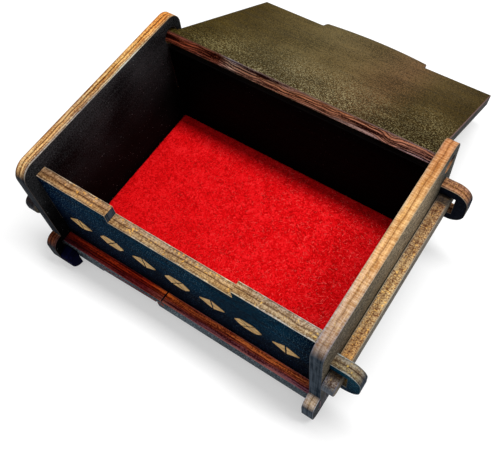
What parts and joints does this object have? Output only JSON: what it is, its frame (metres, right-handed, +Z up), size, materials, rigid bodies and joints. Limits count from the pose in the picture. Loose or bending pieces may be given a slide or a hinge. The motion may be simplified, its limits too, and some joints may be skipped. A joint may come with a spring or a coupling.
{
  "type": "wooden puzzle box",
  "caption": "Small lidded plywood box locked together by loose sliding keys, with a swing-back lid and a felt lining.",
  "frame": {"origin": "middle of the underside of the four-walled box, on the surface it stands on", "axes": "+X to the box's right, +Y to its back, where the open lid lies, +Z up"},
  "size_m": [0.1274, 0.1397, 0.052],
  "materials": {
    "dark_ply": "satin",
    "teal_ply": "satin",
    "navy_ply": "satin",
    "olive_ply": "satin",
    "gold_ply": "satin",
    "red_ply": "satin",
    "red_felt": "matte"
  },
  "bodies": {
    "carcass": {"side_left": "dark_ply", "side_right": "dark_ply", "front_panel": "teal_ply", "back_panel": "dark_ply", "base_panel": "dark_ply", "felt_lining": "red_felt", "tab_cheek": "navy_ply"},
    "lid": {"lid": "olive_ply"},
    "side_key_left": {"side_key_left": "gold_ply"},
    "side_key_right": {"side_key_right": "gold_ply"},
    "front_key_short": {"front_key_short": "red_ply"},
    "front_key_long": {"front_key_long": "red_ply"},
    "rear_key_short": {"rear_key_short": "red_ply"},
    "rear_key_long": {"rear_key_long": "red_ply"}
  },
  "joints": [
    {"name": "lid_hinge", "type": "hinge", "parent": "carcass", "child": "lid", "pos_m": [0, 0.0336, 0.0449], "axis": [1, 0, 0], "range_deg": [0, 210]},
    {"name": "side_key_left_slide", "type": "slide", "parent": "carcass", "child": "side_key_left", "axis": [0, 1, 0], "range_m": [-0.07, 0.07]},
    {"name": "side_key_right_slide", "type": "slide", "parent": "carcass", "child": "side_key_right", "axis": [0, 1, 0], "range_m": [-0.07, 0.07]},
    {"name": "front_key_short_slide", "type": "slide", "parent": "carcass", "child": "front_key_short", "axis": [1, 0, 0], "range_m": [-0.04, 0]},
    {"name": "front_key_long_slide", "type": "slide", "parent": "carcass", "child": "front_key_long", "axis": [1, 0, 0], "range_m": [0, 0.056]},
    {"name": "rear_key_short_slide", "type": "slide", "parent": "carcass", "child": "rear_key_short", "axis": [1, 0, 0], "range_m": [0, 0.04]},
    {"name": "rear_key_long_slide", "type": "slide", "parent": "carcass", "child": "rear_key_long", "axis": [1, 0, 0], "range_m": [-0.056, 0]}
  ]
}
